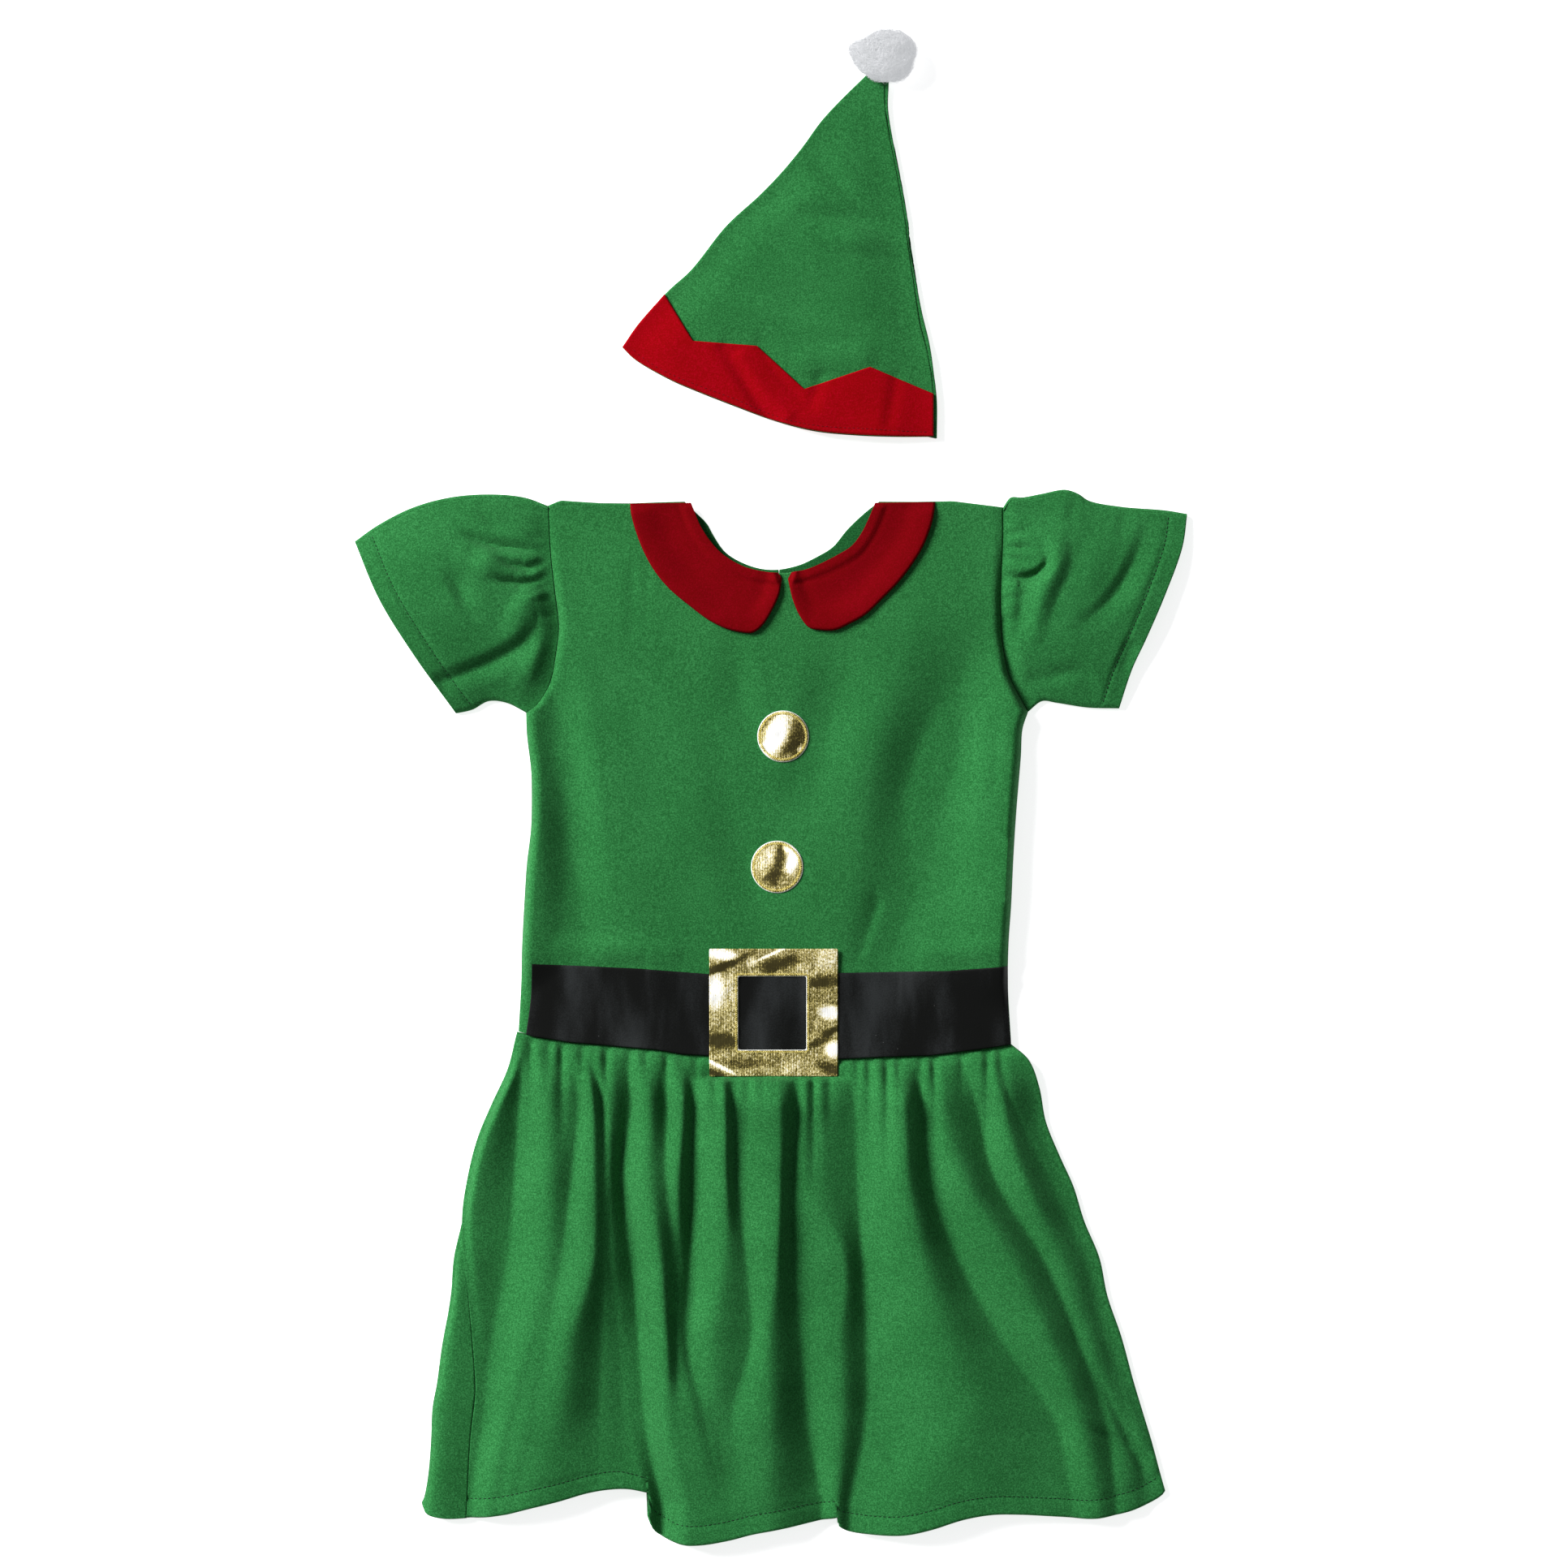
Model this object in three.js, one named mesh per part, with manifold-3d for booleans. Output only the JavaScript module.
// A child's elf costume laid flat: a puff-sleeved dress with a gathered skirt, and a pointed hat.
// Millimetres. +X is to the right and +Y up in the plan, +Z rises from the surface it lies on.
import * as THREE from 'three';
import { mergeVertices } from 'three/addons/utils/BufferGeometryUtils.js';
import Module from 'manifold-3d';

const { lerp, smoothstep, clamp } = THREE.MathUtils;

// Cloths, the gap at a seam, and the gap below what is laid on a curved panel
const FLEECE = 2;
const FELT = 1.5;
const LAME = 1;
const GAP = 0.3;
const LAID_GAP = 0.4;
const FRONT_UNDER = FLEECE + GAP;
const FRONT_TOP = FRONT_UNDER + FLEECE;

// Loft: how far the middle of each upper layer stands above the layer below it
const BODICE_LOFT = 4;
const SKIRT_LOFT = 8;
const SLEEVE_LOFT = 11;
const HAT_LOFT = 3.5;

// Outlines in plan, as [x, y]: shoulders, neck, armholes and sides of the bodice
const SHOULDER_LEFT = [[-151.7, 190.9], [-143, 194.5], [-116, 192.5], [-96, 192], [-72, 192.5], [-55.5, 192.5]];
const SHOULDER_RIGHT = [[71, 192.5], [98, 193], [123, 194], [156.9, 189.8]];
const NECK_FRONT = [
  [-55.5, 192.5], [-49, 177], [-41, 165], [-33, 157], [-19, 149], [-2.5, 145.2], [11, 145.2], [24.5, 147.5],
  [45, 157], [55, 163.5], [61.5, 172], [66.5, 182], [71, 192.5],
];
const NECK_BACK = [
  [-59, 193.8], [-50.5, 185.5], [-44, 179], [-39, 170], [-31, 159], [-14, 150], [1, 147.5], [18, 150.5],
  [30, 156], [41.5, 163], [51, 174.5], [63, 186], [73, 193.8],
];
const ARMHOLE_LEFT = [
  [-151.7, 190.9], [-150, 158], [-146.7, 129], [-144.5, 108.5], [-146, 93.5], [-150.6, 70.5], [-159.4, 56],
  [-166.5, 50.6],
];
const ARMHOLE_RIGHT = [
  [156.9, 189.8], [156.9, 167], [155.8, 142.5], [155.2, 125.5], [156.3, 100.5], [160.7, 76.5], [168.4, 61],
  [173.9, 51.2],
];
const SIDE_LEFT = [
  [-166.5, 50.6], [-166, 36], [-163.2, 12], [-162.7, -4], [-163.2, -28], [-166, -52], [-167.6, -76.5],
  [-169.3, -109], [-169.8, -133], [-171.6, -165.5],
];
const SIDE_RIGHT = [
  [173.9, 51.2], [170.1, 39.5], [169, 21], [166.2, -12.5], [164, -46], [162.4, -80], [160.7, -105],
  [160.2, -133], [162.4, -173.8],
];
const WAIST = [
  [-171.6, -165.5], [-162, -168], [-136, -172], [-112, -174], [-78, -177], [-61, -180], [-43, -181], [0, -182.6],
  [46, -183.2], [73, -182], [107, -181], [142, -176.6], [162.4, -173.8],
];

// Sleeves: upper fold, cuff and underarm fold
const SLEEVE_TOP_LEFT = [
  [-151.7, 190.9], [-167, 196.4], [-188, 198.6], [-216, 196.9], [-243, 189.8], [-267, 177.7], [-282.6, 166.7],
];
const CUFF_LEFT = [[-282.6, 166.7], [-265.5, 127.6], [-242.4, 90.2], [-214, 50]];
const SLEEVE_UNDER_LEFT = [[-166.5, 50.6], [-179.7, 57.2], [-191.8, 58.3], [-203, 52.5], [-214, 50]];
const SLEEVE_TOP_RIGHT = [
  [156.9, 189.8], [162, 196.5], [170, 196.6], [183, 199], [199, 201.8], [208, 199], [215, 194.4],
  [236.6, 190.3], [267, 187.8], [281.7, 185.4],
];
const CUFF_RIGHT = [[281.7, 185.4], [278.4, 163.4], [266.9, 131.5], [253.7, 100.7], [244.3, 80.3], [235.5, 53.4]];
const SLEEVE_UNDER_RIGHT = [[173.9, 51.2], [183.3, 58.3], [193.2, 57.2], [214, 54], [235.5, 53.4]];

// Collar: its neck edge is the neck of the front, and this is its outer edge, shoulder to middle
const COLLAR_OUTER_LEFT = [
  [-96, 191.4], [-95, 184], [-89, 165], [-81, 149], [-70, 135], [-54, 121.5], [-43, 113.3], [-31, 107.3],
  [-19, 104.5], [-12.5, 104.5], [-6, 109.5], [-0.4, 118.3], [5, 130], [7, 141],
];
const COLLAR_INNER_LEFT = [
  [-55.5, 191.4], [-49, 176.6], [-41, 164.6], [-33, 156.6], [-19, 148.6], [-2.5, 144.8], [5, 144.4],
];
const COLLAR_OUTER_RIGHT = [
  [111, 191.9], [109, 180.5], [103.5, 165], [97, 153.5], [87, 140], [75, 127.5], [63.5, 116.6], [53, 110.6],
  [43, 106.2], [33, 106.2], [25.5, 107.8], [19.5, 115], [14.4, 126.5], [11, 141],
];
const COLLAR_INNER_RIGHT = [
  [71, 191.9], [66.5, 181.6], [61.5, 171.6], [55, 163], [45, 156.5], [24.5, 147], [13, 144.7],
];

// Trims
const BUTTONS = [
  { name: 'button_upper', x: 7.8, y: 34.4, radius: 17.5 },
  { name: 'button_lower', x: 3.7, y: -53.9, radius: 17.7 },
];
const BELT_TOP = [
  [-162, -119.5], [-124, -121], [-89.5, -122.7], [-42, -126.4], [45, -125.6], [119, -124.3], [160, -121],
];
const BELT_LEFT = [[-162, -119.5], [-163, -143], [-166.3, -166.6]];
const BELT_RIGHT = [[160, -121], [160.4, -147], [162.2, -173.5]];
const BUCKLE = { left: -42.2, right: 45, top: -109.2, bottom: -195.8 };
const BUCKLE_HOLE = { left: -22.5, right: 23.5, top: -128, bottom: -177.7 };

// Skirt: sides, the side seam that shows in front, and the hem in its three stretches. The hem
// steps down where a deep fold laps over the next one.
const SKIRT_LEFT = [
  [-172.6, -165.8], [-178.6, -190], [-190, -215], [-199.5, -238], [-206, -263.5], [-210, -294], [-215.5, -319],
  [-217.7, -345], [-223.7, -379.5], [-227, -402.6], [-230.3, -421], [-231.4, -444.5], [-233, -462.5],
  [-237.5, -484.6],
];
const SIDE_SEAM = [
  [-172.6, -165.8], [-178.6, -190], [-190, -215], [-199.5, -238], [-206, -263.5], [-210, -294], [-205, -346.5],
  [-201.2, -390.5], [-200.5, -410], [-203.9, -440], [-207.2, -495],
];
const SIDE_SEAM_SHOWS = -309;
const SIDE_SEAM_GAP = 2 * GAP;
const SKIRT_RIGHT = [
  [162.4, -174.1], [174.5, -185], [181.6, -203.5], [186, -226.6], [195.4, -250], [204.7, -270.6], [212, -294],
  [222.3, -319], [227.8, -345], [237.2, -372.5], [245.4, -402.6], [251, -421.3], [258, -444.4], [263.6, -465.3],
  [266.9, -476.9],
];
const HEM_LEFT = [
  [-237.5, -484.6], [-234.2, -491.7], [-222.6, -495], [-206.7, -495], [-181, -491.7], [-164, -487.3],
  [-143.4, -482.4], [-123.6, -477], [-108, -474.7], [-96.7, -474.7], [-83, -477.4],
];
const HEM_MIDDLE = [
  [-83, -489], [-81.8, -499], [-76.3, -506], [-62.6, -511.5], [-49.4, -512.1], [-29, -508.8], [-12, -504.4],
  [16, -499.4], [30.4, -496.7], [45.2, -493.9],
];
const HEM_RIGHT = [
  [45.2, -499.4], [50.7, -503.3], [67.2, -505.5], [88.7, -505.5], [107.4, -501.6], [128.8, -495], [149, -491.7],
  [167.3, -491.7], [194.8, -493.4], [218.5, -494.5], [240.5, -490.6], [257, -484.6], [265.8, -479],
  [266.9, -476.9],
];
const HEM_STEPS = [-83, 45.2];
const HEM_STEP_RUN = 0.5;
const BACK_HEM_RISE = 2;

// Large folds of the skirt. x gives the way each runs, high how far it lifts the cloth or, below
// zero, sinks it, both at five even levels from FOLDS_START down to FOLDS_END. left and right say
// how far it spreads to each side.
const FOLDS_START = -181.5;
const FOLDS_END = -489.5;
const SKIRT_FOLDS = [
  { x: [-168, -186, -197, -196, -200], high: [-1, -4, -5, -5, -3], left: 12, right: 18 },
  { x: [-135, -142, -143, -143, -143], high: [-1, -3, -1, 0, 0], left: 10, right: 10 },
  { x: [-118, -115, -118, -134, -148], high: [-1, -8, -8, -6, -2], left: 9, right: 15 },
  { x: [-104, -106, -109, -111, -115], high: [-1, -3, -3, -5, -6], left: 24, right: 24 },
  { x: [-76, -75, -73, -73, -73], high: [-1, -3, 0, 0, 0], left: 8, right: 8 },
  { x: [-57, -62, -66, -65, -61], high: [-1, -7, -7, -3, 0], left: 8, right: 9 },
  { x: [-29, -27, -18, -32, -31], high: [-1, -4, -3, -2, -1], left: 9, right: 12 },
  { x: [9, 8, 12, 20, 27], high: [-1, -7, -6, -6, -6], left: 9, right: 13 },
  { x: [29, 30, 38, 39, 38], high: [-1, -4, -4, -4, -4], left: 14, right: 18 },
  { x: [50, 52, 56, 55, 46], high: [-1, -3, -4, -4, -2], left: 12, right: 8 },
  { x: [94, 97, 117, 147, 171], high: [-1, -8, -8, -6, -4], left: 12, right: 22 },
  { x: [118, 141, 173, 220, 250], high: [-1, -8, -7, -4, -1], left: 12, right: 17 },
  { x: [162, 184, 198, 209, 220], high: [-1, -3, -1, 0, 0], left: 8, right: 8 },
  { x: [-147, -160, -163, -166, -176], high: [0, 4, 4, 3, 2], left: 14, right: 22 },
  { x: [-121, -127, -132, -150, -160], high: [0, 3, 3, 1, 0], left: 10, right: 8 },
  { x: [-88, -91, -81, -70, -62], high: [0, 4, 6, 7, 6], left: 10, right: 16 },
  { x: [-46, -44, -42, -46, -44], high: [0, 3, 3, 2, 2], left: 14, right: 16 },
  { x: [-3, 0, -1, -13, -12], high: [0, 4, 5, 4, 2], left: 18, right: 8 },
  { x: [68, 75, 74, 79, 70], high: [0, 5, 5, 5, 4], left: 12, right: 20 },
  { x: [105, 118, 152, 198, 217], high: [0, 3, 4, 3, 1], left: 16, right: 10 },
  { x: [137, 162, 195, 225, 243], high: [0, 3, 4, 4, 3], left: 12, right: 18 },
];

// Small gathers along the waist, between the large folds: where each valley is and how far down
// it reaches.
const GATHERS = [
  { x: -163, reach: 40 }, { x: -151, reach: 26 }, { x: -142, reach: 45 }, { x: -128, reach: 30 },
  { x: -112, reach: 34 }, { x: -96, reach: 24 }, { x: -85, reach: 20 }, { x: -68, reach: 30 },
  { x: -51, reach: 32 }, { x: -38, reach: 44 }, { x: -24, reach: 26 }, { x: -16, reach: 40 },
  { x: -6, reach: 30 }, { x: 2, reach: 24 }, { x: 18, reach: 30 }, { x: 39, reach: 38 },
  { x: 58, reach: 26 }, { x: 66, reach: 60 }, { x: 78, reach: 70 }, { x: 86, reach: 26 },
  { x: 101, reach: 24 }, { x: 110, reach: 36 }, { x: 129, reach: 24 }, { x: 146, reach: 50 },
  { x: 155, reach: 30 },
];
const GATHER_DEPTH = 1.3;
const GATHER_HALF = 4.5;

// Soft folds elsewhere: each runs along its path in plan, lifts the cloth by its high numbers from
// its start to its end, or sinks it below zero, and fades out within wide to either side.
const BODICE_FOLDS = [
  { path: [[-149, 93], [-140, 38], [-134, -16], [-129, -66]], high: [0, -2.2, -1.8, 0], wide: 18 },
  { path: [[-138, 126], [-126, 49], [-113, -16], [-88, -99]], high: [0, 1, 1, 1], wide: 26 },
  { path: [[140, 115], [118, 44], [104, -5], [98, -60], [86, -104]], high: [0, -2, -2.6, -2, -1], wide: 20 },
  { path: [[98, 115], [74, 38], [57, -16], [44, -60]], high: [0, 1.3, 1.3, 0], wide: 28 },
  { path: [[54, 92], [43, 56], [34, 14], [30, -22]], high: [-0.4, -0.9, -0.7, 0], wide: 24 },
  { path: [[148, 66], [145, 11], [118, -93]], high: [0, 0.8, 1], wide: 22 },
];
const SLEEVE_FOLDS_LEFT = [
  { path: [[-160, 173], [-179, 164], [-198, 168], [-220, 176]], high: [-3, -4, -3, 0], wide: 10 },
  { path: [[-154, 150], [-166, 141], [-185, 139]], high: [-2.5, -3, -1], wide: 9 },
  { path: [[-160, 107], [-171, 96], [-190, 85], [-209, 77], [-223, 72]], high: [-1, -3, -4, -4, -3], wide: 12 },
  { path: [[-223, 148], [-212, 135], [-204, 118]], high: [0, -1.5, 0], wide: 14 },
  { path: [[-205, 155], [-192, 152], [-180, 150]], high: [1, 2.5, 1], wide: 15 },
  { path: [[-163, 129], [-174, 110]], high: [2, 1], wide: 14 },
];
const SLEEVE_FOLDS_RIGHT = [
  { path: [[159, 146], [170, 147], [181, 152], [183, 162], [177, 170]], high: [-2.5, -4, -4, -3, -1], wide: 8 },
  { path: [[171, 135], [170, 121], [169, 107]], high: [-1, -3, 0], wide: 8 },
  { path: [[206, 197], [202, 181]], high: [-2, -1], wide: 10 },
  { path: [[239, 188], [237, 173]], high: [-2, -1], wide: 10 },
  { path: [[255, 181], [244, 151], [228, 126], [209, 110]], high: [-1, -2, -2, 0], wide: 13 },
  { path: [[192, 181], [193, 154], [184, 132], [176, 104]], high: [0, 3, 3, 1], wide: 14 },
];
const HAT_FOLDS = [
  { path: [[19, 389], [55, 385], [95, 372]], high: [0, -1.6, -2.2], wide: 13 },
  { path: [[27, 374], [60, 370], [90, 362]], high: [0, 1.2, 1.2], wide: 14 },
  { path: [[22, 425], [41, 412], [57, 399]], high: [-1, -1.4, 0], wide: 14 },
  { path: [[-33, 296], [-20, 278], [-3, 250]], high: [-0.6, -1.2, -1], wide: 22 },
  { path: [[25, 292], [60, 294]], high: [0.8, 0.8], wide: 24 },
];

// Hat: the fold on its left, its right edge, the side seam of its front half, and its mouth
const HAT_LEFT = [
  [70, 488.6], [63.4, 482], [47, 466], [33.7, 451.6], [20.5, 433.5], [7.3, 417.5], [-8, 401.5], [-30.7, 380.6],
  [-54.3, 351], [-70.3, 336], [-91, 313], [-101.1, 298.1],
];
const HAT_MOUTH = [
  [-101.1, 298.1], [-93.4, 290.4], [-68.6, 276], [-50, 268], [-27, 259], [1.2, 248.6], [28.2, 241.5],
  [54.6, 238.7], [82, 237.6], [110, 237.6],
];
const HAT_SEAM = [
  [76, 488.6], [76.5, 474], [77, 460], [81.5, 433.4], [87, 405.4], [91, 382], [92.3, 369.5], [96.4, 342.7],
  [100.8, 314], [105, 298], [108.7, 278], [110.2, 262], [110, 237.6],
];
const HAT_RIGHT = [
  [80, 488.6], [79.3, 474], [79, 460], [83.2, 433.4], [88.7, 405.4], [92.6, 382], [93.4, 367.4], [98, 342.7],
  [102, 321.8], [107, 300.8], [110.2, 278.3], [112, 262], [112, 236.4],
];
const ZIGZAG = [[-72.5, 333.9], [-53.2, 302], [-9.8, 298.7], [22.1, 269.5], [66.7, 284.4], [109.6, 266.5]];
const BAND_ZONE = { left: [-73, 339], right: [112, 289], ramp: 14 };

// Pompom
const POMPOM = { x: 75.5, y: 493.9, z: 10.5, core: 8.2,reach: [21.5, 17.8, 14.5], locks: 150 };
const LOCK_RADIUS = 2.2;
const LOCK_FLOOR = 0.8;
const LOCK_OVER_HAT = 7.5;

const GREEN = { color: 0x2f8044, roughness: 0.95 };
const RED = { color: 0x9c0016, roughness: 0.9 };
const BLACK = { color: 0x1b1a1c, roughness: 0.6 };
const GOLD = { color: 0xcbb35c, roughness: 0.35, metalness: 0.7 };
const WHITE = { color: 0xeae8ec, roughness: 1 };

const costume = new THREE.Group();

function addPiece(name, geometry, look) {
  const mesh = new THREE.Mesh(geometry, new THREE.MeshStandardMaterial(look));
  mesh.name = name;
  costume.add(mesh);
}

// A smooth edge through its points, read by the share of its length
function edge(points) {
  const curve = new THREE.CatmullRomCurve3(points.map(([x, y]) => new THREE.Vector3(x, y, 0)), false, 'centripetal');
  curve.arcLengthDivisions = 400;
  return (share) => {
    const { x, y } = curve.getPointAt(share);
    return [x, y];
  };
}

// One edge after another, with the corner between them at the share given
function edgeWithCorner(first, second, corner) {
  const before = edge(first);
  const after = edge(second);
  return (share) => (share < corner ? before(share / corner) : after((share - corner) / (1 - corner)));
}

// A value read between even stations, on a smooth curve through them
function along(values, share) {
  const at = clamp(share, 0, 1) * (values.length - 1);
  const i = Math.min(Math.floor(at), values.length - 2);
  const t = at - i;
  const [b, c] = [values[i], values[i + 1]];
  const rise = (c - (values[i - 1] ?? b)) / 2;
  const fall = ((values[i + 2] ?? c) - b) / 2;
  const t2 = t * t;
  const t3 = t2 * t;
  return (2 * t3 - 3 * t2 + 1) * b + (t3 - 2 * t2 + t) * rise + (3 * t2 - 2 * t3) * c + (t3 - t2) * fall;
}

// The height of a line in plan at an x, straight between its points
function levelAt(points, x) {
  const last = points.findIndex((point) => point[0] >= x);
  if (last === 0) {
    return points[0][1];
  }
  if (last < 0) {
    return points[points.length - 1][1];
  }
  const [a, b] = [points[last - 1], points[last]];
  return lerp(a[1], b[1], (x - a[0]) / (b[0] - a[0]));
}

// An edge read evenly in x, whose stretches may meet at corners or steps
function levelEdge(stretches) {
  const start = stretches[0][0][0];
  const end = stretches.at(-1).at(-1)[0];
  return (share) => {
    const x = lerp(start, end, share);
    const stretch = stretches.find((points) => x <= points.at(-1)[0]) ?? stretches.at(-1);
    return [x, levelAt(stretch, x)];
  };
}

// The plan of a panel between four edges, by its shares across and down
function panelPlan({ top, bottom, left, right }) {
  const [topLeft, topRight, lowLeft, lowRight] = [top(0), top(1), bottom(0), bottom(1)];
  return (u, v) => {
    const edges = [top(u), bottom(u), left(v), right(v)];
    return [0, 1].map((axis) => {
      const [t, b, l, r] = edges.map((point) => point[axis]);
      const upper = (1 - u) * topLeft[axis] + u * topRight[axis];
      const lower = (1 - u) * lowLeft[axis] + u * lowRight[axis];
      return (1 - v) * (t - upper) + v * (b - lower) + (1 - u) * l + u * r;
    });
  };
}

const evenly = (count) => Array.from({ length: count + 1 }, (_, i) => i / count);

// How far a soft fold lifts the cloth at a point
const FOLD_PATH_STEPS = 12;
const bell = (distance, wide) => (distance < wide ? (1 - (distance / wide) ** 2) ** 2 : 0);
function softFolds(folds) {
  const ready = folds.map(({ path, high, wide }) => ({ high, wide, points: evenly(FOLD_PATH_STEPS).map(edge(path)) }));
  return (x, y) => ready.reduce((sum, { high, wide, points }) => {
    let nearest = { distance: Infinity, share: 0 };
    for (let i = 0; i < FOLD_PATH_STEPS; i += 1) {
      const [[ax, ay], [bx, by]] = [points[i], points[i + 1]];
      const [dx, dy] = [bx - ax, by - ay];
      const t = clamp(((x - ax) * dx + (y - ay) * dy) / (dx * dx + dy * dy), 0, 1);
      const distance = Math.hypot(x - ax - t * dx, y - ay - t * dy);
      if (distance < nearest.distance) {
        nearest = { distance, share: (i + t) / FOLD_PATH_STEPS };
      }
    }
    return sum + along(high, nearest.share) * bell(nearest.distance, wide);
  }, 0);
}

// Keeps cloth that folds would sink from passing through the layer below it
const SETTLE = 1;
const settle = (lift) => (lift > 0 ? lift ** 2 / (lift + SETTLE) : 0);

// A closed wall. Each row holds points with their share across and their place on the upper and
// the under face, and rows may differ in number of points.
function wall(rows) {
  const positions = [];
  const index = [];
  const starts = [];
  for (const row of rows) {
    starts.push(positions.length / 3);
    row.forEach((point) => positions.push(...point.top));
  }
  const half = positions.length / 3;
  rows.forEach((row) => row.forEach((point) => positions.push(...point.under)));
  const addBoth = (a, b, c) => index.push(a, b, c, half + a, half + c, half + b);
  for (let r = 0; r < rows.length - 1; r += 1) {
    const [upper, lower] = [rows[r], rows[r + 1]];
    let i = 0;
    let j = 0;
    while (i < upper.length - 1 || j < lower.length - 1) {
      const nextUpper = upper[i + 1]?.share ?? Infinity;
      const nextLower = lower[j + 1]?.share ?? Infinity;
      if (nextUpper < nextLower) {
        addBoth(starts[r] + i, starts[r + 1] + j, starts[r] + i + 1);
        i += 1;
      } else {
        addBoth(starts[r] + i, starts[r + 1] + j, starts[r + 1] + j + 1);
        j += 1;
      }
    }
  }
  const firstRow = rows[0].map((_, i) => i).reverse();
  const leftSide = starts.slice(1, -1);
  const lastRow = rows.at(-1).map((_, i) => starts.at(-1) + i);
  const rightSide = rows.slice(1, -1).map((row, r) => starts[r + 1] + row.length - 1).reverse();
  const rim = [...firstRow, ...leftSide, ...lastRow, ...rightSide];
  rim.forEach((p, i) => {
    const q = rim[(i + 1) % rim.length];
    index.push(q, p, half + p, q, half + p, half + q);
  });
  return closedGeometry(positions, index);
}

function closedGeometry(positions, index) {
  const geometry = new THREE.BufferGeometry();
  geometry.setAttribute('position', new THREE.Float32BufferAttribute(positions, 3));
  geometry.setIndex(index);
  geometry.computeVertexNormals();
  return geometry;
}

// A panel's rows: its plan at the shares given, an upper face and a wall under it. Where the
// cloth is steep the wall is deeper, so that it stays about as thick across.
const SLOPE_PROBE = 0.5;
const STEEPEST = 1.8;
function panelRows({ plan, across, down, topAt, thick, lowest = -Infinity }) {
  return down.map((v, r) => (typeof across === 'function' ? across(r) : across).map((u) => {
    const [x, y] = plan(u, v);
    const z = topAt(x, y, u, v);
    const slopeX = (topAt(x + SLOPE_PROBE, y, u, v) - z) / SLOPE_PROBE;
    const slopeY = (topAt(x, y + SLOPE_PROBE, u, v) - z) / SLOPE_PROBE;
    const depth = thick * Math.min(Math.hypot(1, slopeX, slopeY), STEEPEST);
    const under = Math.min(Math.max(z - depth, lowest), z - thick);
    return { share: u, top: [x, y, z], under: [x, y, under] };
  }));
}

const slab = (under, thick) => ({ topAt: () => under + thick, thick });

// Bodice
const ARMHOLE_SHARE = 0.4;
const ARMHOLE_STATIONS = 9;
const FRONT_SIDE_STATIONS = 11;
const BACK_SIDE_STATIONS = 6;
const BACK_SHOULDER_RISE = 1.2;
const CENTRE_BACK = 5;
const bodiceDown = (sideStations) => [
  ...evenly(ARMHOLE_STATIONS).slice(0, -1).map((share) => share * ARMHOLE_SHARE),
  ...evenly(sideStations).map((share) => lerp(ARMHOLE_SHARE, 1, share)),
];
const bodiceEdgeLeft = edgeWithCorner(ARMHOLE_LEFT, SIDE_LEFT, ARMHOLE_SHARE);
const bodiceEdgeRight = edgeWithCorner(ARMHOLE_RIGHT, SIDE_RIGHT, ARMHOLE_SHARE);
const bodicePlan = panelPlan({
  top: levelEdge([SHOULDER_LEFT, NECK_FRONT, SHOULDER_RIGHT]),
  bottom: levelEdge([WAIST]),
  left: bodiceEdgeLeft,
  right: bodiceEdgeRight,
});

const bodiceFolds = softFolds(BODICE_FOLDS);
const BODICE_MIDDLE = 4;
const BODICE_HALF = 165;
function bodiceTop(x, y) {
  const side = 1 - Math.min(Math.abs(x - BODICE_MIDDLE) / BODICE_HALF, 1) ** 4;
  const shoulder = smoothstep(192 - y, 0, 90);
  const waist = lerp(0.3, 1, smoothstep(y + 180, 0, 90));
  return FRONT_TOP + settle(BODICE_LOFT * side * shoulder * waist + bodiceFolds(x, y) * side);
}

const shareOfX = (x, from, to) => (x - from) / (to - from);
// Both sides of the waist seam have a point at each corner of its line
const sharesOf = (points) => points.map(([x]) => shareOfX(x, points[0][0], points.at(-1)[0]));
const lastLike = (across, rows, last) => (row) => (row === rows - 1 ? last : across);
const neckShares = [NECK_FRONT[0], NECK_FRONT.at(-1)].map(
  ([x]) => shareOfX(x, SHOULDER_LEFT[0][0], SHOULDER_RIGHT.at(-1)[0]),
);
const SHOULDER_COLUMNS = 6;
const NECK_COLUMNS = 11;
const frontDown = bodiceDown(FRONT_SIDE_STATIONS);
const backDown = bodiceDown(BACK_SIDE_STATIONS);
const bodiceAcross = [
  ...evenly(SHOULDER_COLUMNS).slice(0, -1).map((share) => share * neckShares[0]),
  ...evenly(NECK_COLUMNS).map((share) => lerp(neckShares[0], neckShares[1], share)),
  ...evenly(SHOULDER_COLUMNS).slice(1).map((share) => lerp(neckShares[1], 1, share)),
];
addPiece('bodice_front', wall(panelRows({
  plan: bodicePlan,
  across: lastLike(bodiceAcross, frontDown.length, sharesOf(WAIST)),
  down: frontDown,
  topAt: bodiceTop,
  thick: FLEECE,
  lowest: FRONT_UNDER,
})), GREEN);

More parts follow.
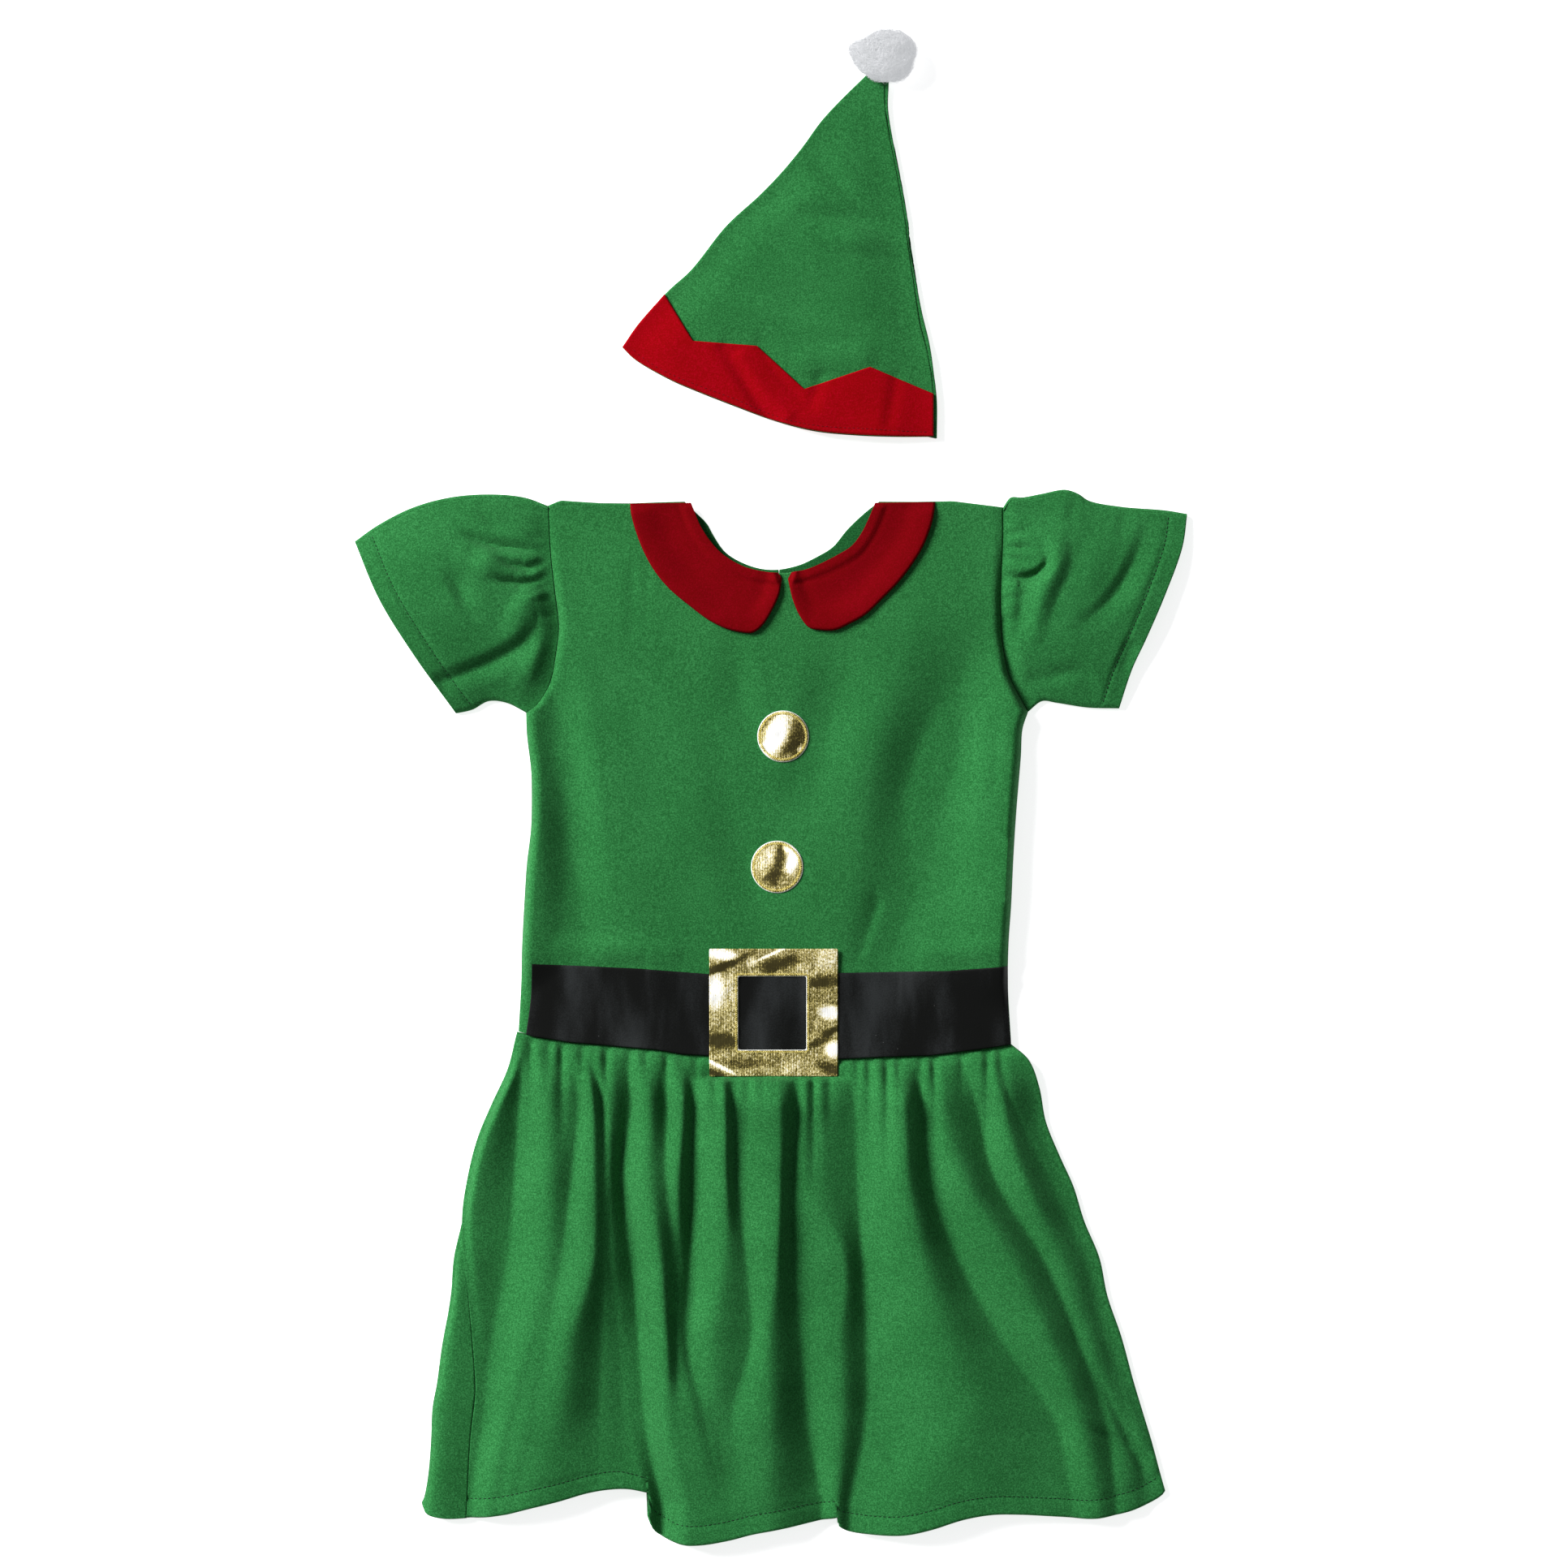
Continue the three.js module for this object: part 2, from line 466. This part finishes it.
// The back halves end a little above the front at the neck, and meet along the centre back
const backShoulder = (points, neck) => points.map(([x, y]) => {
  const toNeck = clamp(1 - Math.abs(x - neck) / Math.abs(points[0][0] - points.at(-1)[0]), 0, 1);
  return [x, y + BACK_SHOULDER_RISE * toNeck];
});
const neckLevel = levelAt(NECK_BACK, CENTRE_BACK);
const waistLevel = levelAt(WAIST, CENTRE_BACK);
const backHalves = [
  {
    name: 'bodice_back_left',
    top: [
      backShoulder(SHOULDER_LEFT.slice(0, -1), -59).concat([NECK_BACK[0]]),
      [...NECK_BACK.filter(([x]) => x < CENTRE_BACK - 1), [CENTRE_BACK - GAP / 2, neckLevel]],
    ],
    bottom: [...WAIST.filter(([x]) => x < CENTRE_BACK - 1), [CENTRE_BACK - GAP / 2, waistLevel]],
    side: 'left',
  },
  {
    name: 'bodice_back_right',
    top: [
      [[CENTRE_BACK + GAP / 2, neckLevel], ...NECK_BACK.filter(([x]) => x > CENTRE_BACK + 1)],
      [NECK_BACK.at(-1), ...backShoulder(SHOULDER_RIGHT.slice(1), 73)],
    ],
    bottom: [[CENTRE_BACK + GAP / 2, waistLevel], ...WAIST.filter(([x]) => x > CENTRE_BACK + 1)],
    side: 'right',
  },
];
const BACK_COLUMNS = [3, 6];
for (const { name, top, bottom, side } of backHalves) {
  const onLeft = side === 'left';
  const middleX = CENTRE_BACK + (onLeft ? -GAP / 2 : GAP / 2);
  const middle = (share) => [middleX, lerp(neckLevel, waistLevel, share)];
  const corner = shareOfX(top[0].at(-1)[0], top[0][0][0], top[1].at(-1)[0]);
  const [before, after] = onLeft ? BACK_COLUMNS : [...BACK_COLUMNS].reverse();
  addPiece(name, wall(panelRows({
    plan: panelPlan({
      top: levelEdge(top),
      bottom: levelEdge([bottom]),
      left: onLeft ? bodiceEdgeLeft : middle,
      right: onLeft ? middle : bodiceEdgeRight,
    }),
    across: lastLike([
      ...evenly(before).slice(0, -1).map((share) => share * corner),
      ...evenly(after).map((share) => lerp(corner, 1, share)),
    ], backDown.length, sharesOf(bottom)),
    down: backDown,
    ...slab(0, FLEECE),
  })), GREEN);
}

// A sleeve is a flattened tube. Its rings start at the upper fold, cross the upper layer to the
// underarm and come back along the layer below.
const SLEEVE_EDGE_TOP = 2 * FLEECE + 0.6;
const SLEEVE_FOLD_Z = SLEEVE_EDGE_TOP / 2;
const SLEEVE_EDGE_IN = 0.018;
const SLEEVE_WALL_IN = 0.03;
const SLEEVE_STATIONS = 11;
const ARMHOLE_GAP = 1.7 * GAP;
function sleeve(name, { armhole, cuff, upperFold, underFold, folds, outward }) {
  const armholeEdge = edge(armhole);
  const plan = panelPlan({
    top: edge(upperFold),
    bottom: edge(underFold),
    left: armholeEdge,
    right: edge(cuff),
  });
  const foldLift = softFolds(folds);
  const topAt = (x, y, s, t) => {
    const acrossLoft = Math.sin(Math.PI * clamp(s, 0, 1)) ** 0.8;
    const alongLoft = lerp(0.3, 1, smoothstep(t, 0, 0.3)) * lerp(1, 0.5, smoothstep(t, 0.3, 1));
    return SLEEVE_EDGE_TOP + settle((SLEEVE_LOFT * alongLoft + foldLift(x, y)) * acrossLoft);
  };
  const inner = evenly(ARMHOLE_STATIONS).slice(1, -1);
  const shares = [SLEEVE_EDGE_IN, ...inner, 1 - SLEEVE_EDGE_IN];
  const wallShares = [SLEEVE_EDGE_IN + SLEEVE_WALL_IN, ...inner, 1 - SLEEVE_EDGE_IN - SLEEVE_WALL_IN];
  const ringAt = (t, faceShares, foldShare, topDrop, floor) => {
    const place = (s, z) => {
      const before = Math.min(Math.floor(s * ARMHOLE_STATIONS), ARMHOLE_STATIONS - 1);
      const ends = [before, before + 1].map((station) => plan(t, station / ARMHOLE_STATIONS));
      const [x, y] = [0, 1].map((axis) => lerp(ends[0][axis], ends[1][axis], s * ARMHOLE_STATIONS - before));
      return [x + outward * ARMHOLE_GAP * (1 - t), y, z ?? topAt(x, y, s, t) - topDrop];
    };
    return [
      place(foldShare, SLEEVE_FOLD_Z),
      ...faceShares.map((s) => place(s)),
      place(1 - foldShare, SLEEVE_FOLD_Z),
      ...[...faceShares].reverse().map((s) => place(s, floor)),
    ];
  };
  const stations = evenly(SLEEVE_STATIONS);
  const outer = stations.map((t) => ringAt(t, shares, 0, 0, 0));
  const inside = stations.map((t) => ringAt(t, wallShares, SLEEVE_WALL_IN, FLEECE, FLEECE));
  addPiece(name, tube(outer, inside, outward < 0), GREEN);
}

// A closed tube wall from its outer and inner rings
function tube(outer, inside, flip) {
  const sides = outer[0].length;
  const rings = outer.length;
  const positions = [...outer, ...inside].flat(2);
  const index = [];
  const face = (a, b, c, d) => {
    if (flip) {
      index.push(a, b, c, a, c, d);
    } else {
      index.push(a, c, b, a, d, c);
    }
  };
  const at = (layer, ring, side) => (layer * rings + ring) * sides + (side % sides);
  for (let side = 0; side < sides; side += 1) {
    for (let ring = 0; ring < rings - 1; ring += 1) {
      face(at(0, ring, side), at(0, ring + 1, side), at(0, ring + 1, side + 1), at(0, ring, side + 1));
      face(at(1, ring, side), at(1, ring, side + 1), at(1, ring + 1, side + 1), at(1, ring + 1, side));
    }
    const end = rings - 1;
    face(at(0, 0, side), at(0, 0, side + 1), at(1, 0, side + 1), at(1, 0, side));
    face(at(0, end, side), at(1, end, side), at(1, end, side + 1), at(0, end, side + 1));
  }
  return closedGeometry(positions, index);
}

sleeve('sleeve_left', {
  armhole: ARMHOLE_LEFT,
  cuff: CUFF_LEFT,
  upperFold: SLEEVE_TOP_LEFT,
  underFold: SLEEVE_UNDER_LEFT,
  folds: SLEEVE_FOLDS_LEFT,
  outward: -1,
});
sleeve('sleeve_right', {
  armhole: ARMHOLE_RIGHT,
  cuff: CUFF_RIGHT,
  upperFold: SLEEVE_TOP_RIGHT,
  underFold: SLEEVE_UNDER_RIGHT,
  folds: SLEEVE_FOLDS_RIGHT,
  outward: 1,
});

// Collar halves lie on the front, from the neck edge out
const COLLAR_STATIONS = 16;
const COLLAR_COLUMNS = 4;
const onBodice = (thick) => (x, y) => bodiceTop(x, y) + LAID_GAP + thick;
function collar(name, leftEdge, rightEdge) {
  const [left, right] = [edge(leftEdge), edge(rightEdge)];
  addPiece(name, wall(panelRows({
    plan: (u, v) => left(v).map((value, axis) => lerp(value, right(v)[axis], u)),
    across: evenly(COLLAR_COLUMNS),
    down: evenly(COLLAR_STATIONS),
    topAt: onBodice(FELT),
    thick: FELT,
  })), RED);
}
collar('collar_left', COLLAR_OUTER_LEFT, COLLAR_INNER_LEFT);
collar('collar_right', COLLAR_INNER_RIGHT, COLLAR_OUTER_RIGHT);

// Buttons: discs of lame, from rings about their middle, laid on the front
const BUTTON_SIDES = 28;
const BUTTON_RINGS = [0.5, 1];
for (const { name, x, y, radius } of BUTTONS) {
  const place = (share, angle, above) => {
    const px = x + Math.cos(angle) * radius * share;
    const py = y + Math.sin(angle) * radius * share;
    return [px, py, bodiceTop(px, py) + GAP + above];
  };
  const positions = [];
  const index = [];
  for (const above of [LAME, 0]) {
    positions.push(...place(0, 0, above));
    for (const share of BUTTON_RINGS) {
      for (let side = 0; side < BUTTON_SIDES; side += 1) {
        positions.push(...place(share, (side / BUTTON_SIDES) * 2 * Math.PI, above));
      }
    }
  }
  const face = 1 + BUTTON_RINGS.length * BUTTON_SIDES;
  for (let side = 0; side < BUTTON_SIDES; side += 1) {
    const next = (side + 1) % BUTTON_SIDES;
    const [a, b] = [1 + side, 1 + next];
    const [c, d] = [a + BUTTON_SIDES, b + BUTTON_SIDES];
    index.push(0, a, b, a, c, d, a, d, b);
    index.push(face, face + b, face + a, face + a, face + d, face + c, face + a, face + b, face + d);
    index.push(c, face + c, face + d, c, face + d, d);
  }
  addPiece(name, closedGeometry(positions, index), GOLD);
}

// Belt: laid on the lower front, with its lower edge on the waist seam
const BELT_COLUMNS = 22;
const BELT_ROWS = 3;
const beltBottom = [BELT_LEFT.at(-1), ...WAIST.slice(1, -1), BELT_RIGHT.at(-1)];
addPiece('belt', wall(panelRows({
  plan: panelPlan({
    top: levelEdge([BELT_TOP]),
    bottom: levelEdge([beltBottom]),
    left: edge(BELT_LEFT),
    right: edge(BELT_RIGHT),
  }),
  across: lastLike(evenly(BELT_COLUMNS), BELT_ROWS + 1, sharesOf(beltBottom)),
  down: evenly(BELT_ROWS),
  topAt: onBodice(LAME),
  thick: LAME,
})), BLACK);

// Buckle: a square frame of lame over the belt, cut from a plate that follows the front
const BUCKLE_CELLS = 8;
const wasm = await Module();
wasm.setup();

function solidOf(geometry) {
  const bare = geometry.clone();
  bare.deleteAttribute('normal');
  bare.deleteAttribute('uv');
  const merged = mergeVertices(bare, 1e-4);
  const mesh = new wasm.Mesh({
    numProp: 3,
    vertProperties: new Float32Array(merged.attributes.position.array),
    triVerts: new Uint32Array(merged.index.array),
  });
  return new wasm.Manifold(mesh);
}

function geometryOf(solid) {
  const { vertProperties, triVerts } = solid.getMesh();
  return closedGeometry(Array.from(vertProperties), Array.from(triVerts));
}

const aboveBelt = onBodice(LAME + GAP + LAME);
const plate = wall(panelRows({
  plan: (u, v) => [lerp(BUCKLE.left, BUCKLE.right, u), lerp(BUCKLE.top, BUCKLE.bottom, v)],
  across: evenly(BUCKLE_CELLS),
  down: evenly(BUCKLE_CELLS),
  topAt: aboveBelt,
  thick: LAME,
}));
const HOLE_DEPTH = 40;
const hole = new THREE.BoxGeometry(
  BUCKLE_HOLE.right - BUCKLE_HOLE.left,
  BUCKLE_HOLE.top - BUCKLE_HOLE.bottom,
  HOLE_DEPTH,
);
hole.translate((BUCKLE_HOLE.left + BUCKLE_HOLE.right) / 2, (BUCKLE_HOLE.top + BUCKLE_HOLE.bottom) / 2, 0);
addPiece('buckle', geometryOf(solidOf(plate).subtract(solidOf(hole))), GOLD);

// Skirt front
const hemFront = [[SIDE_SEAM.at(-1), ...HEM_LEFT.slice(4)], HEM_MIDDLE, HEM_RIGHT];
const waistFront = WAIST.map(([x, y]) => [x, y - GAP]);
waistFront[0] = SIDE_SEAM[0];
waistFront[waistFront.length - 1] = SKIRT_RIGHT[0];
const skirtPlan = panelPlan({
  top: levelEdge([waistFront]),
  bottom: levelEdge(hemFront),
  left: edge(SIDE_SEAM),
  right: edge(SKIRT_RIGHT),
});

const WAIST_RUN = 80;
const SIDE_RUN = 36;
const SKIRT_WIDTH = 400;
function skirtLift(x, y) {
  const level = (FOLDS_START - y) / (FOLDS_START - FOLDS_END);
  const large = SKIRT_FOLDS.reduce((sum, fold) => {
    const from = x - along(fold.x, level);
    const wide = from < 0 ? fold.left : fold.right;
    return sum + along(fold.high, level) * bell(Math.abs(from), wide);
  }, 0);
  const below = levelAt(waistFront, x) - y;
  const small = GATHERS.reduce((sum, { x: at, reach }) => {
    const spread = 1 + below / reach;
    return sum - GATHER_DEPTH * bell(Math.abs(x - at), GATHER_HALF * spread) * bell(Math.max(below, 0), reach);
  }, GATHER_DEPTH * bell(Math.max(below, 0), WAIST_RUN / 2));
  return { large: large * smoothstep(below, 0, WAIST_RUN / 2), small, below };
}
function skirtTop(x, y, u) {
  const { large, small, below } = skirtLift(x, y);
  const side = smoothstep(Math.min(u, 1 - u) * SKIRT_WIDTH, 0, SIDE_RUN);
  const loft = SKIRT_LOFT * smoothstep(below, 0, WAIST_RUN);
  return FRONT_TOP + settle((loft + large) * side + small);
}

const GATHER_COLUMNS = 112;
const GATHER_ROWS = [0, 0.016, 0.042, 0.08, 0.125];
const FOLD_COLUMNS = 56;
const FOLD_ROWS = [0.18, 0.25, 0.33, 0.41, 0.49, 0.57, 0.66, 0.75, 0.84, 0.92, 0.96, 1];
const hemShares = HEM_STEPS.flatMap((x) => [x - HEM_STEP_RUN, x + HEM_STEP_RUN].map(
  (side) => shareOfX(side, hemFront[0][0][0], HEM_RIGHT.at(-1)[0]),
));
const foldShares = [
  ...evenly(FOLD_COLUMNS).filter((u) => hemShares.every((share) => Math.abs(share - u) > 0.3 / FOLD_COLUMNS)),
  ...hemShares,
].sort((a, b) => a - b);
addPiece('skirt_front', wall(panelRows({
  plan: skirtPlan,
  across: (row) => (row < GATHER_ROWS.length ? evenly(GATHER_COLUMNS) : foldShares),
  down: [...GATHER_ROWS, ...FOLD_ROWS],
  topAt: skirtTop,
  thick: FLEECE,
  lowest: FRONT_UNDER,
})), GREEN);

// Skirt back: flat, and turned up round the left edge from where the side seam shows to the hem
const rise = (points) => points.map(([x, y]) => [x, y + BACK_HEM_RISE]);
const backHem = [HEM_LEFT, rise(HEM_MIDDLE.slice(1)), rise(HEM_RIGHT.slice(1, -1)).concat([HEM_RIGHT.at(-1)])];
backHem[0] = backHem[0].map(([x, y], i) => [x, i === 0 ? y : y + BACK_HEM_RISE]);
const backPlan = panelPlan({
  top: levelEdge([waistFront]),
  bottom: levelEdge([backHem[0], [[-83, -475.4], ...backHem[1]], backHem[2]]),
  left: edge(SKIRT_LEFT),
  right: edge(SKIRT_RIGHT),
});
const TURN_OUTER = FRONT_TOP / 2;
const TURN_MIDDLE = TURN_OUTER - FLEECE / 2;
const TURN_POINTS = 7;
const BACK_ROWS = 14;
const SKIRT_BACK_COLUMNS = 12;
const seamAt = (y) => levelAt([...SIDE_SEAM].reverse().map(([x, level]) => [level, x]), y);
const backRows = panelRows({
  plan: backPlan,
  across: (row) => (row === 0 ? sharesOf(waistFront) : evenly(SKIRT_BACK_COLUMNS)),
  down: evenly(BACK_ROWS),
  ...slab(0, FLEECE),
}).map((row) => {
  const [x, y] = row[0].top;
  if (y > SIDE_SEAM_SHOWS) {
    return row;
  }
  const turned = Math.max(seamAt(y) - SIDE_SEAM_GAP - x - TURN_OUTER, 0) + Math.PI * TURN_MIDDLE;
  const turn = evenly(TURN_POINTS).slice(0, -1).map((share) => {
    const way = (1 - share) * turned;
    const angle = Math.min(way / TURN_MIDDLE, Math.PI);
    const flat = Math.max(way - Math.PI * TURN_MIDDLE, 0);
    const [sine, cosine] = [Math.sin(angle), Math.cos(angle)];
    const face = (out) => [
      x + TURN_OUTER + flat + sine * (out - TURN_MIDDLE),
      y,
      TURN_OUTER + cosine * (out - TURN_MIDDLE),
    ];
    return { share: share - 1, top: face(FLEECE / 2), under: face(-FLEECE / 2) };
  });
  const lower = row.map((point, i) => {
    const inward = i === 0 ? TURN_OUTER : 0;
    const [tx, ty, tz] = point.top;
    return { share: point.share, top: [tx + inward, ty, tz], under: [tx + inward, ty, point.under[2]] };
  });
  return [...turn, ...lower];
});
addPiece('skirt_back', wall(backRows), GREEN);

// Hat: the back half lies over its own half of the band, so it rises a little there
const [zoneLeft, zoneRight] = [BAND_ZONE.left, BAND_ZONE.right];
function overBand(x, y) {
  const level = lerp(zoneLeft[1], zoneRight[1], shareOfX(x, zoneLeft[0], zoneRight[0]));
  return (FELT + GAP) * smoothstep(level + BAND_ZONE.ramp - y, 0, BAND_ZONE.ramp);
}
const hatFolds = softFolds(HAT_FOLDS);
const HAT_TIP = 488.6;
const HAT_TIP_RUN = 110;
const hatPlanFront = panelPlan({
  top: levelEdge([[HAT_LEFT[0], HAT_SEAM[0]]]),
  bottom: levelEdge([HAT_MOUTH]),
  left: edge(HAT_LEFT),
  right: edge(HAT_SEAM),
});
const hatMouthBack = [...HAT_MOUTH.slice(0, -1), HAT_RIGHT.at(-1)];
const hatPlanBack = panelPlan({
  top: levelEdge([[HAT_LEFT[0], HAT_RIGHT[0]]]),
  bottom: levelEdge([hatMouthBack]),
  left: edge(HAT_LEFT),
  right: edge(HAT_RIGHT),
});
const hatSideLeft = [...HAT_LEFT].reverse().map(([x, y]) => [y, x]);
const hatSideRight = [...HAT_SEAM].reverse().map(([x, y]) => [y, x]);
const HAT_SIDE_RUN = 55;
function hatTop(x, y) {
  const side = Math.min(x - levelAt(hatSideLeft, y), levelAt(hatSideRight, y) - x);
  const ease = smoothstep(side, 0, HAT_SIDE_RUN);
  const loft = HAT_LOFT * smoothstep(HAT_TIP - y, 0, HAT_TIP_RUN);
  return FRONT_TOP + overBand(x, y) + settle((loft + hatFolds(x, y)) * ease);
}
const HAT_COLUMNS = 13;
const HAT_BACK_COLUMNS = 7;
const HAT_ROWS = 17;
addPiece('hat_back', wall(panelRows({
  plan: hatPlanBack,
  across: evenly(HAT_BACK_COLUMNS),
  down: evenly(HAT_ROWS),
  topAt: (x, y) => overBand(x, y) + FLEECE,
  thick: FLEECE,
})), GREEN);
addPiece('hat_front', wall(panelRows({
  plan: hatPlanFront,
  across: evenly(HAT_COLUMNS),
  down: evenly(HAT_ROWS),
  topAt: hatTop,
  thick: FLEECE,
})), GREEN);

// Band of the hat, one half on each side, its upper edge cut in a zigzag
const BAND_LEFT = [ZIGZAG[0], [-91, 312.6], [-101.1, 298.1]];
const BAND_STEPS = 3;
const BAND_ROWS = 4;
function band(name, rightX, mouth, surface) {
  const zigzag = [...ZIGZAG.slice(0, -1), [rightX, ZIGZAG.at(-1)[1]]];
  const from = zigzag[0][0];
  const corners = zigzag.map(([x]) => shareOfX(x, from, rightX));
  const across = corners.slice(1).flatMap((corner, i) => evenly(BAND_STEPS).slice(1).map(
    (share) => lerp(corners[i], corner, share),
  ));
  const lower = [...mouth.slice(0, -1), [rightX, mouth.at(-1)[1]]];
  addPiece(name, wall(panelRows({
    plan: panelPlan({
      top: levelEdge([zigzag]),
      bottom: levelEdge([lower]),
      left: edge(BAND_LEFT),
      right: edge([zigzag.at(-1), lower.at(-1)]),
    }),
    across: [0, ...across],
    down: evenly(BAND_ROWS),
    ...surface,
  })), RED);
}
band('hat_band_front', 109.6, HAT_MOUTH, { topAt: (x, y) => hatTop(x, y) + GAP + FELT, thick: FELT });
band('hat_band_back', 111.5, hatMouthBack, slab(0, FELT));

// Pompom: locks of three sides, rooted in a core
const wobble = (i) => Math.abs(Math.sin(i * 12.9898) * 43758.5453) % 1;
const GOLDEN_ANGLE = Math.PI * (3 - Math.sqrt(5));
let pompom = solidOf(new THREE.IcosahedronGeometry(POMPOM.core, 1));
const upright = new THREE.Vector3(0, 1, 0);
for (let i = 0; i < POMPOM.locks; i += 1) {
  const height = 1 - (2 * (i + 0.5)) / POMPOM.locks;
  const turn = i * GOLDEN_ANGLE;
  const flat = Math.sqrt(1 - height * height);
  const aim = new THREE.Vector3(Math.cos(turn) * flat, Math.sin(turn) * flat, height);
  const reach = lerp(0.8, 1, wobble(i));
  const tip = aim.clone().multiply(new THREE.Vector3(...POMPOM.reach)).multiplyScalar(reach);
  const overHat = tip.y < 0 && POMPOM.y + tip.y < HAT_TIP + 1;
  const lowest = overHat ? LOCK_OVER_HAT : LOCK_FLOOR;
  tip.z = Math.max(tip.z, lowest - POMPOM.z);
  const length = tip.length();
  const lock = new THREE.ConeGeometry(LOCK_RADIUS, length, 3, 1);
  lock.translate(0, length / 2, 0);
  lock.applyQuaternion(new THREE.Quaternion().setFromUnitVectors(upright, tip.clone().normalize()));
  pompom = pompom.add(solidOf(lock));
}
const pompomGeometry = geometryOf(pompom);
pompomGeometry.translate(POMPOM.x, POMPOM.y, POMPOM.z);
addPiece('pompom', pompomGeometry, WHITE);

export default costume;
